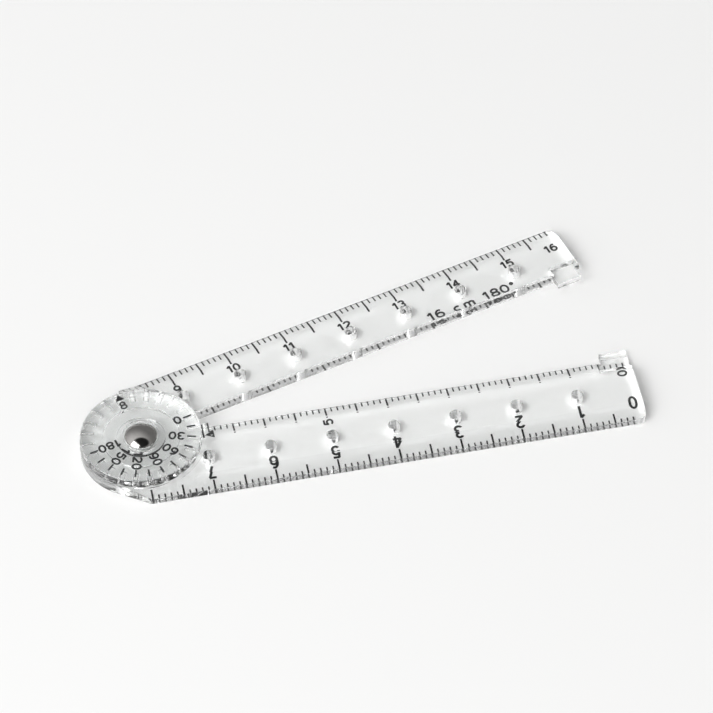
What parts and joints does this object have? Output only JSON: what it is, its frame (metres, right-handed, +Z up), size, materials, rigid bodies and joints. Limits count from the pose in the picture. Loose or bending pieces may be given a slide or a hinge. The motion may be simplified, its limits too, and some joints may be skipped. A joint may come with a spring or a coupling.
{
  "type": "goniometer",
  "caption": "Clear folding pocket ruler that measures angles: a dial arm and a pointer arm on one domed rivet, with centimetre scales, pencil holes and a half-circle degree dial.",
  "frame": {"origin": "on the pivot axis, in the plane of the arms' undersides, which is the plane the ruler lies on", "axes": "+X along the dial arm towards its free end, +Z up out of the dial's face, +Y towards the dial arm's ruled edge"},
  "size_m": [0.0898, 0.043, 0.0043],
  "materials": {
    "clear_plastic": "clear glossy moulded acrylic",
    "black_fill": "black filled markings",
    "polished_metal": "polished"
  },
  "bodies": {
    "dial_side": {"dial_arm": "clear_plastic", "dial_ticks": "black_fill", "dial_numbers": "black_fill", "dial_index_mark": "black_fill", "dial_arm_ticks": "black_fill", "dial_arm_numbers": "black_fill", "dial_arm_size_label": "black_fill", "pivot_rivet": "polished_metal", "rivet_back_cap": "polished_metal"},
    "pointer_side": {"pointer_arm": "clear_plastic", "pointer_arm_ticks": "black_fill", "pointer_arm_numbers": "black_fill", "pointer_arm_inner_ticks": "black_fill", "pointer_arm_inner_numbers": "black_fill", "pointer_mark": "black_fill"}
  },
  "joints": [
    {"name": "fold", "type": "hinge", "parent": "dial_side", "child": "pointer_side", "pos_m": [0, 0, 0], "axis": [0, 0, 1], "range_deg": [-165, 15]}
  ]
}
